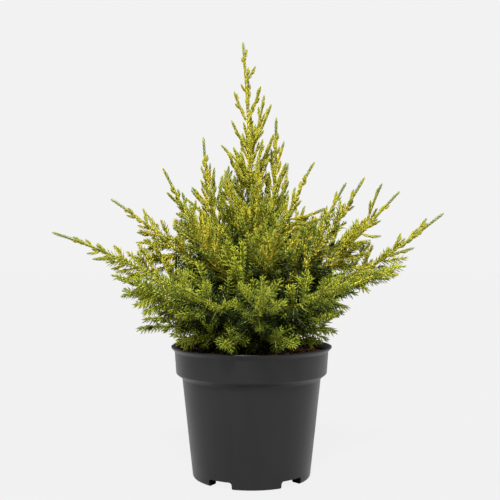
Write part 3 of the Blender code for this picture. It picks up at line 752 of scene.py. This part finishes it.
# A shoot is a line of points and the radius at its foot, in metres. share is where it leaves its plume,
# out where it leaves its side shoot, and light how bright its tint is, from 0 in painted shade to 1 outside.
Shoot = namedtuple("Shoot", "plume points radius share out light kind")
STEM_RADIUS = BOUGH_TIP_RADIUS
STEM_TIP_RADIUS = 0.0006
SIDE_SHOOT_RADIUS = 0.0013
TWIG_RADIUS = 0.0010
SHADE_SHOOT_RADIUS = 0.0007
SIDE_SHOOT_POINTS = 7
SHORTEST = 0.006

shoots = []
rng = np.random.default_rng(SEED)


def half_width(plume, share):
    """Half the width of a plume there: it swells from its foot and runs out to a blunt point."""
    swelling = min(1.0, 0.55 + 2.2 * share)
    return 0.0045 + (plume.width - 0.0045) * swelling * (1.0 - share) ** 0.75


def to_outline(plume, span, share, lean):
    """How long a shoot is that leaves at this share of the plume and ends on the plume's outline."""
    length = SHORTEST
    while length * math.sin(lean) < half_width(plume, min(1.0, share + length * math.cos(lean) / span)):
        length += 0.001
    return length


POT_INSIDE = 0.0880
GAP = 0.0010  # over the lip and the compost


def in_pot(point):
    """Whether a point is in the pot's wall or the compost, or below the lip outside, where nothing hangs."""
    radius = math.hypot(point[0], point[1])
    if point[2] > POT_HEIGHT + GAP:
        return False
    return radius > POT_INSIDE or point[2] < compost_height(radius) + GAP


def bowed(root, start, end, length, count):
    """Points of a shoot that leaves in the direction start and has turned to end at its tip."""
    t = np.linspace(0.0, 1.0, count)[:, None]
    return root + length * (start * t + (end - start) * t * t / 2)


def compass(azimuth, slope):
    """The direction with that azimuth and slope, in degrees."""
    a, e = math.radians(azimuth), math.radians(slope)
    return np.array((math.cos(a) * math.cos(e), math.sin(a) * math.cos(e), math.sin(e)))


def sideways(ahead, level, turn):
    """The direction at right angles to ahead that has turned by so much from level."""
    return level * math.cos(turn) + np.cross(level, ahead) * math.sin(turn)


def leaning(ahead, outward, lean):
    """The direction that leans so much outward from ahead."""
    return ahead * math.cos(lean) + outward * math.sin(lean)


def add_side_shoot(name, points, share, light, habit):
    """Keeps a side shoot and grows its twigs."""
    shoots.append(Shoot(name, points, SIDE_SHOOT_RADIUS, share, 0.3, light, "shoot"))
    grow_twigs(name, points, share, light, habit)


# Sprays below the shade's top are darker, by up to so much where they stand lowest.
SHADE_TOP = 0.260
SHADE_DEPTH = 0.06
LOW_SHADE = 0.20


def grow_plume(name, plume, axis, first, habit):
    """The stem of a plume, its long shoots, and the side shoots that its habit gives it."""
    spin = rng.uniform(0, 2 * math.pi)
    lighter_outward = 0.20 if name in LOW | SKIRT else 0.40
    stem_points = axis.at(first + (1.0 - first) * np.linspace(0.0, 1.0, 28))
    shoots.append(Shoot(name, stem_points, STEM_RADIUS, 0.0, 0.0, 0.3, "stem"))
    for percent, azimuth, slope, length_mm in LONG_SHOOTS.get(name, ()):
        share = percent / 100
        t = first + (1.0 - first) * share
        ahead, along = axis.direction(t), compass(azimuth, slope)
        start = unit(along * 1.25 - ahead * 0.25)
        end = unit(along * 0.8 + ahead * 0.2)
        points = bowed(axis.at(t), start, end, length_mm / 1000, SIDE_SHOOT_POINTS)
        add_side_shoot(name, points, share, 0.5 + 0.4 * rng.random(), habit)
    for k in range(habit.shoots):
        share = 0.02 + (habit.last - 0.02) * ((k + 0.5) / habit.shoots) ** 1.1
        t = first + (1.0 - first) * share
        ahead = axis.direction(t)
        turn = spin + GOLDEN_ANGLE * k + rng.uniform(-0.25, 0.25)
        outward = sideways(ahead, unit(np.cross(ahead, UP)), turn)
        lean = math.radians(habit.wide + (habit.close - habit.wide) * share + rng.uniform(-4, 4))
        length = to_outline(plume, axis.span * (1.0 - first), share, lean)
        length = length * rng.uniform(0.78, 1.06) * habit.fullness
        hanging = max(0.0, -outward[2])
        if name in LONG_SHOOTS:
            length *= min(max(1.40 - 1.5 * share, 0.38), 1.0)
            length *= 1.0 - 0.45 * hanging
        else:
            length *= 1.0 - 0.25 * hanging
        start = leaning(ahead, outward, lean + 0.16)
        end = unit(leaning(ahead, outward, lean - 0.22) + UP * 0.10)
        points = bowed(axis.at(t), start, end, length, SIDE_SHOOT_POINTS)
        while in_pot(points[-1]) and len(points) > 3:
            points = points[:-1]
        if in_pot(points[-1]):
            continue
        # The tint is partly the plant's own gold further out, and partly painted light and shade: lighter
        # where the shoot points up, darker the lower it ends.
        light = 0.38 + lighter_outward * (share - 0.5) + 0.10 * outward[2] + 0.40 * rng.random()
        light -= LOW_SHADE * min(max((SHADE_TOP - points[-1][2]) / SHADE_DEPTH, 0.0), 1.0)
        add_side_shoot(name, points, share, light, habit)


def grow_twigs(name, points, share, light, habit):
    """Short twigs left and right of a side shoot, the longest near its foot."""
    steps = np.diff(points, axis=0)
    length = np.linalg.norm(steps, axis=1).sum()
    count = int(length * 0.78 / habit.twig_gap)
    roll = rng.uniform(-0.9, 0.9)
    young = share < habit.young
    for j in range(count):
        out = 0.14 + 0.72 * (j + 0.5) / count
        where = out * (len(points) - 1)
        k = min(int(where), len(points) - 2)
        root = points[k] + (points[k + 1] - points[k]) * (where - k)
        ahead = unit(points[k + 1] - points[k])
        level = across(ahead, unit(np.cross(ahead, UP)) + 0.001)
        outward = sideways(ahead, level, roll + (j % 2) * math.pi + rng.uniform(-0.45, 0.45))
        lean = math.radians(rng.uniform(38, 50) if young else rng.uniform(20, 30))
        reach = length * habit.twig_share * (1.0 - 0.55 * out) * rng.uniform(0.75, 1.15)
        start = leaning(ahead, outward, lean + 0.1)
        end = unit(leaning(ahead, outward, lean - 0.15) + UP * 0.06)
        twig = bowed(root, start, end, max(reach, SHORTEST), 3)
        if not in_pot(twig[-1]):
            shoots.append(Shoot(name, twig, TWIG_RADIUS, share, out, light + 0.12 * out, "twig"))


for name, plume in PLUMES.items():
    grow_plume(name, plume, axes[name], foliage_from[name], habit_of(name))

# Shoots that never reach the light: short ones on the trunk, on the bare parts of the boughs, and on
# the first part of each plume, so that the crown is closed to its middle. Their dark tint is painted shade.
SHADE_SHOOTS_ON_TRUNK = 120
SHADE_SHOOTS_ON_BOUGH = 20
SHADE_FOOT = 0.012  # over the trunk's foot
SHADE_RANGE = 0.150
SHADE_NARROWS = 0.255  # the height from which they get shorter
SHADE_BACK = 0.16  # of the plume's foliage: so far they reach back on the bare bough


def grow_shade_shoot(name, root, ahead, outward, lean, length):
    """One shade shoot, which bends up a little. None grows into the pot."""
    start = leaning(ahead, outward, math.radians(lean))
    points = bowed(root, start, unit(start + UP * 0.3), length, 5)
    if not any(in_pot(point) for point in points[2:]):
        shoots.append(Shoot(name, points, SHADE_SHOOT_RADIUS, 0.0, 0.0, 0.0, "shade"))


for k in range(SHADE_SHOOTS_ON_TRUNK):
    height = TRUNK_FOOT + SHADE_FOOT + SHADE_RANGE * k / SHADE_SHOOTS_ON_TRUNK
    turn = GOLDEN_ANGLE * k
    outward = np.array((math.cos(turn), math.sin(turn), 0.0))
    length = rng.uniform(0.034, 0.060) * (1.0 - max(0.0, height - SHADE_NARROWS) / 0.09)
    grow_shade_shoot("inner_front", trunk_point(height), UP, outward, 58, length)
for name in MIDDLE | LOW | SKIRT:
    reach = 0.32 if name in ARMS else 0.46
    for k in range(SHADE_SHOOTS_ON_BOUGH):
        share = reach * (k + 0.5) / SHADE_SHOOTS_ON_BOUGH - SHADE_BACK
        t = max(0.05, foliage_from[name] + (1.0 - foliage_from[name]) * share)
        ahead = axes[name].direction(t)
        outward = sideways(ahead, unit(np.cross(ahead, UP)), GOLDEN_ANGLE * k)
        grow_shade_shoot(name, axes[name].at(t), ahead, outward, 62, rng.uniform(0.020, 0.036))

prism = bmesh.new()
bmesh.ops.create_cone(prism, cap_ends=True, segments=3, radius1=1.0, radius2=1.0, depth=1.0)
bmesh.ops.translate(prism, vec=(0, 0, 0.5), verts=prism.verts)
twig_shape = shape_arrays(prism)


def needle_kind(shoot, share):
    """Which needles a shoot has there: young near the trunk, grown towards the plume's tip."""
    habit = habit_of(shoot.plume)
    maturity = share + 0.12 * shoot.out + rng.uniform(-0.06, 0.06)
    return "young" if maturity < habit.young else "half" if maturity < habit.grown else "grown"


GOLDEN_SHARE = {"leader": 0.95, "upper": 0.95, "mid": 0.90, "low": 0.20, "inner": 0.05, "skirt": 0.05}


def stem_tint(shoot):
    """Which colour a stem has: mostly golden in the upper tiers, green below and near the trunk."""
    shade = 0.25 if shoot.kind != "stem" and shoot.share < 0.2 else 0.0
    return "gold" if rng.random() < GOLDEN_SHARE[shoot.plume.split("_")[0]] - shade else "green"


stem_parts = {"gold": [], "green": []}
stem_nodes = {"gold": set(), "green": set()}
for shoot in shoots:
    tint = stem_tint(shoot)
    stem_nodes[tint].add("foliage_" + shoot.plume)
    steps = np.diff(shoot.points, axis=0)
    lengths = np.linalg.norm(steps, axis=1) * 1.04  # each length reaches a little into the next
    slimmer = 0.7 if needle_kind(shoot, shoot.share) == "grown" else 1.0
    if shoot.kind == "stem":
        taper = np.linspace(1.0, STEM_TIP_RADIUS / STEM_RADIUS, len(shoot.points))
    else:
        taper = np.linspace(1.0, 0.45, len(shoot.points)) * slimmer
    radii = shoot.radius * taper
    stem_parts[tint].append((shoot.points[:-1], unit(steps), lengths, radii[:-1], radii[1:]))

# Smooth young stems, waxy and satin: golden in the light, green in the shade, each in a plain tint.
STEM_TINTS = {"gold": "#D2C440", "green": "#A4AA44"}
for tint, parts in stem_parts.items():
    roots, ahead, length, foot, top = (np.concatenate(column) for column in zip(*parts))
    corners, faces = strew(twig_shape, roots, ahead, rng.normal(size=roots.shape), length, foot, top)
    waxy = new_material("young_stem_" + tint, {"Base Color": linear(STEM_TINTS[tint]), "Roughness": 0.45})
    stem_mesh = mesh_from_arrays("stems_" + tint, corners, faces)
    finish_piece("stems_" + tint, stem_mesh, waxy, "foliage_" + tint, *sorted(stem_nodes[tint]))

# ----------------------------------------------------------------------------------------- needles
# The needles stand in whorls of three all along the shoots. On grown shoots they are short, pressed
# to the stem and overlapping, and on young sprays they are longer and stand out like a bottle brush.

# Length and half width in metres, about one and a half times the real width so that fewer needles close
# the crown, lean off the shoot in degrees, the metres between two whorls, and how much of the lean is
# left at the shoot's tip, which is a point on grown shoots and a star on young ones.
Needle = namedtuple("Needle", "length width lean gap tip")
NEEDLES = {
    "stem": Needle(0.0058, 0.00064, 25, 0.00220, 0.25),
    "grown": Needle(0.0060, 0.00061, 21, 0.00180, 0.25),
    "half": Needle(0.0080, 0.00070, 42, 0.00220, 0.30),
    "young": Needle(0.0090, 0.00082, 50, 0.00215, 0.45),
}
WHORL = 3
spike = bmesh.new()
bmesh.ops.create_cone(spike, cap_ends=True, segments=3, radius1=0.45, radius2=1.0, depth=0.55)
bmesh.ops.translate(spike, vec=(0, 0, 0.275), verts=spike.verts)
shoulder = max(spike.faces, key=lambda face: face.calc_center_median().z)
apex = bmesh.ops.poke(spike, faces=[shoulder])["verts"]
bmesh.ops.translate(spike, vec=(0, 0, 0.45), verts=apex)
bmesh.ops.scale(spike, vec=(1.0, 0.6, 1.0), verts=spike.verts)
needle_shape = shape_arrays(spike)

# The plain tints of the sprays. bloom is the grey-green wax on the tips of grown shoots.
GREEN_TINTS = {"deep": "#26330F", "mid": "#667420", "fresh": "#8F9727", "lime": "#AAAF30"}
GOLD_TINTS = {"olive": "#A2A02C", "gold": "#BEB436", "amber": "#CEBC3C", "bloom": "#8F9B68"}
# The tints that the sprays of each tier are dealt, from painted shade to painted light, over the plant's own
# greens and golds.
PALETTES = {
    "leader": ("fresh", "lime", "olive", "olive", "gold"),
    "upper": ("deep", "mid", "fresh", "fresh", "olive", "gold", "amber"),
    "mid": ("deep", "deep", "mid", "mid", "fresh", "fresh", "olive", "amber"),
    "low": ("deep", "mid", "mid", "fresh", "fresh", "lime"),
    "inner": ("deep", "mid", "fresh", "fresh", "lime"),
    "skirt": ("deep", "mid", "mid", "fresh", "fresh"),
    "arm": ("deep", "mid", "fresh", "olive", "olive", "gold"),
}


def tint_of(shoot, lighter=0.0):
    """A spray's tint: its own green or gold, with painted shade near the trunk and below and painted light
    outside and above.
    """
    palette = PALETTES["arm" if shoot.plume in ARMS else shoot.plume.split("_")[0]]
    light = shoot.light + lighter - 0.04 + rng.uniform(-0.04, 0.04)
    return palette[int(min(max(light, 0.0), 0.999) * len(palette))]


# On the outer side of a shoot, the side that faces out and up, the needles hug the stem in one row, the
# ridge, which is the light line seen along it. They lean less and are wider, and how much lighter they are,
# given below, is a painted highlight.
RIDGE_LEAN = 0.4
RIDGE_WIDTH = 1.25
RIDGE_OFF_STEM = 0.0006
OFF_STEM = 0.0002
RIDGE_PAINTED_HIGHLIGHT = {"stem": 0.05, "grown": 0.05, "half": 0.36, "young": 0.25}
CLOSING = 0.006  # the length at a shoot's tip where its needles close up


def whorls(points, kind, begin, end, fade):
    """Needles in whorls between two shares of the points' length, as columns of their roots, directions,
    hints, lengths, half widths, and whether each is on the ridge."""
    steps = np.diff(points, axis=0)
    lengths = np.linalg.norm(steps, axis=1)
    total = lengths.sum()
    count = max(2, int(total * (end - begin) / kind.gap))
    where = begin + (end - begin) * (np.arange(count) + 0.5) / count
    ends = np.concatenate([[0.0], np.cumsum(lengths)]) / total
    centre = np.stack([np.interp(where, ends, points[:, k]) for k in range(3)], 1)
    segment = np.clip(np.searchsorted(ends, where) - 1, 0, len(steps) - 1)
    ahead = unit(steps[segment])
    outer = across(ahead, unit(centre * (1.0, 1.0, 0.0)) + UP * 0.35)
    beside = np.cross(outer, ahead)
    closing = np.clip((1.0 - where) * total / CLOSING, kind.tip, 1.0)
    shortening = np.clip(0.55 + closing * 0.45, 0.6, 1.0)
    needles = []
    for k in range(WHORL):
        rank = 2 * k + np.arange(count)
        ridge = rank % (2 * WHORL) == 0
        turn = math.pi / WHORL * rank + rng.uniform(-0.06, 0.06, count)
        outward = outer * np.cos(turn)[:, None] + beside * np.sin(turn)[:, None]
        lean = np.radians(kind.lean + rng.uniform(-2, 2, count)) * closing
        lean = lean * np.where(ridge, RIDGE_LEAN, 1.0)
        direction = ahead * np.cos(lean)[:, None] + outward * np.sin(lean)[:, None]
        root = centre + outward * np.where(ridge, RIDGE_OFF_STEM, OFF_STEM)[:, None]
        length = kind.length * rng.uniform(0.94, 1.06, count) * shortening * fade
        width = kind.width * np.where(ridge, RIDGE_WIDTH, 1.0)
        needles.append((root, direction, ahead, length, width, ridge))
    return [np.concatenate(column) for column in zip(*needles)]


sprays = {tint: [] for tint in GREEN_TINTS | GOLD_TINTS}
spray_nodes = {tint: set() for tint in sprays}


def dress(shoot, tint, ridge_highlight_tint, kind, begin, end, fade=1.0):
    """Sets a stretch of a shoot with needles, those of the ridge in a lighter tint of their own: a painted
    highlight.
    """
    *needles, ridge = whorls(shoot.points, NEEDLES[kind], begin, end, fade)
    for chosen, rows in ((tint, ~ridge), (ridge_highlight_tint, ridge)):
        sprays[chosen].append([column[rows] for column in needles])
        spray_nodes[chosen].add("foliage_" + shoot.plume)


# How much lighter a spray gets from its foot to its tip: grown shoots are greener at the tip.
TIP_RISE = {"young": 0.20, "half": -0.08, "grown": -0.12}
TWIG_SHADE = 0.14  # how much darker twigs are than the side shoot between them
DEEP_BELOW = 0.255  # the height under which shade shoots are quite dark

for shoot in shoots:
    if shoot.kind == "stem":
        for begin in np.arange(0.0 if shoot.plume == "leader" else 0.06, 0.98, 0.1):
            end = min(1.0, begin + 0.1)
            kind = needle_kind(shoot, begin)
            kind = "stem" if kind == "grown" and begin < 0.6 else kind
            along = shoot._replace(light=0.6 + 0.25 * begin)
            tint = "bloom" if begin > 0.85 and kind == "grown" else tint_of(along)
            dress(shoot, tint, tint_of(along, RIDGE_PAINTED_HIGHLIGHT[kind]), kind, begin, end)
    elif shoot.kind == "shade":
        # Shade shoots are dealt painted shade: the darkest tint low down, the mid tint above.
        tint = "mid" if shoot.points[0][2] > DEEP_BELOW else "deep"
        dress(shoot, tint, tint, "young", 0.15, 1.0)
    else:
        twig = shoot.kind == "twig"
        kind = needle_kind(shoot, shoot.share)
        begin, fade = (0.12, 0.9) if twig else (0.10, 1.0)
        bloom = kind == "grown" and shoot.share > 0.4 and rng.random() < (0.2 if twig else 0.55)
        rise = TIP_RISE[kind]
        lighter = -TWIG_SHADE if twig and kind != "young" else 0.0
        for first, last, light in ((begin, 0.38, -rise), (0.38, 0.70, 0.0), (0.70, 1.0, rise)):
            tint = "bloom" if bloom and last == 1.0 else tint_of(shoot, lighter + light)
            dress(shoot, tint, tint_of(shoot, lighter + light + RIDGE_PAINTED_HIGHLIGHT[kind]), kind, first, last, fade)

MOST_NEEDLES = 19000  # in one piece, which keeps it under 200,000 triangles
for tint, parts in sprays.items():
    columns = [np.concatenate(column) for column in zip(*parts)]
    slot = "foliage_gold" if tint in GOLD_TINTS else "foliage_green"
    # The needle's skin: a thin wax over live green, satin, in the plain tint of its spray.
    colour = linear((GREEN_TINTS | GOLD_TINTS)[tint])
    satin = {"Base Color": colour, "Roughness": 0.5, "Specular IOR Level": 0.2}
    skin = new_material("waxy_needle_" + tint, satin)
    for k, first in enumerate(range(0, len(columns[0]), MOST_NEEDLES)):
        roots, ahead, hint, length, width = (column[first : first + MOST_NEEDLES] for column in columns)
        corners, faces = strew(needle_shape, roots, ahead, hint, length, width, width)
        name = f"needles_{tint}_{k + 1}"
        finish_piece(name, mesh_from_arrays(name, corners, faces), skin, slot, *sorted(spray_nodes[tint]))

# ------------------------------------------------------------------------ floor, light and camera
# A plain white studio: one pale floor under an even white surround, a broad soft key light from the
# upper left in front, and a weaker one from the right.

SURROUND = "#F2F2F2"
AMBIENT = 0.22  # how much of the surround's brightness lights the plant
FLOOR_GLOW = 0.993
FLOOR_SHADOW = 0.035  # how much of the floor's own shading the camera sees
FOCAL_MM = 59.76
SENSOR_MM = 36.0
CAMERA_PLACE = (-0.0018, -0.986, 0.2666)

world = bpy.data.worlds.new("white_surround")
bpy.context.scene.world = world
world.use_nodes = True
tree = world.node_tree
background = tree.nodes["Background"]
background.inputs["Color"].default_value = linear(SURROUND)
lit = add(tree, "ShaderNodeBackground", {"Color": linear(SURROUND), "Strength": AMBIENT})
seen = add(tree, "ShaderNodeLightPath")
both = add(
    tree,
    "ShaderNodeMixShader",
    {0: seen.outputs["Is Camera Ray"], 1: lit.outputs[0], 2: background.outputs[0]},
)
tree.links.new(both.outputs[0], tree.nodes["World Output"].inputs["Surface"])

floor_mesh = bmesh.new()
bmesh.ops.create_circle(floor_mesh, cap_ends=True, segments=96, radius=9.0)
floor = bpy.data.objects.new("studio_floor", mesh_of("studio_floor", floor_mesh))
bpy.context.scene.collection.objects.link(floor)
# Matt white paper that to the eye is as pale as the surround, with only a trace of a shadow.
pale = new_material("matt_white_floor", {})
tree = pale.node_tree
glow = add(tree, "ShaderNodeEmission", {"Color": linear(SURROUND), "Strength": FLOOR_GLOW})
matt = add(tree, "ShaderNodeBsdfDiffuse", {"Color": linear("#B0B0B0")})
seen = add(tree, "ShaderNodeLightPath")
share = add(
    tree, "ShaderNodeMath", {0: seen.outputs["Is Camera Ray"], 1: 1.0 - FLOOR_SHADOW}, operation="MULTIPLY"
)
blend = add(tree, "ShaderNodeMixShader", {0: share.outputs[0], 1: matt.outputs[0], 2: glow.outputs[0]})
tree.links.new(blend.outputs[0], tree.nodes["Material Output"].inputs["Surface"])
floor.data.materials.append(pale)


def softbox(name, power, angle, azimuth, elevation):
    """A broad even light from far away, angle degrees across."""
    lamp = bpy.data.lights.new(name, "SUN")
    lamp.energy = power
    lamp.angle = math.radians(angle)
    holder = bpy.data.objects.new(name, lamp)
    holder.rotation_mode = "QUATERNION"
    holder.rotation_quaternion = Vector(compass(azimuth, elevation)).to_track_quat("Z", "Y")
    bpy.context.scene.collection.objects.link(holder)


softbox("key_light", 6.0, 14, 265, 51)
softbox("fill_light", 0.35, 40, 318, 24)
softbox("back_light", 1.4, 40, 90, 50)

camera_data = bpy.data.cameras.new("camera")
camera_data.lens = FOCAL_MM
camera_data.sensor_width = SENSOR_MM
camera = bpy.data.objects.new("camera", camera_data)
camera.location = CAMERA_PLACE
camera.rotation_euler = (math.radians(90), 0.0, 0.0)
bpy.context.scene.collection.objects.link(camera)
bpy.context.scene.camera = camera
bpy.context.scene.view_settings.view_transform = "Standard"
bpy.context.scene.cycles.use_denoising = True
bpy.context.scene.cycles.denoising_prefilter = "NONE"
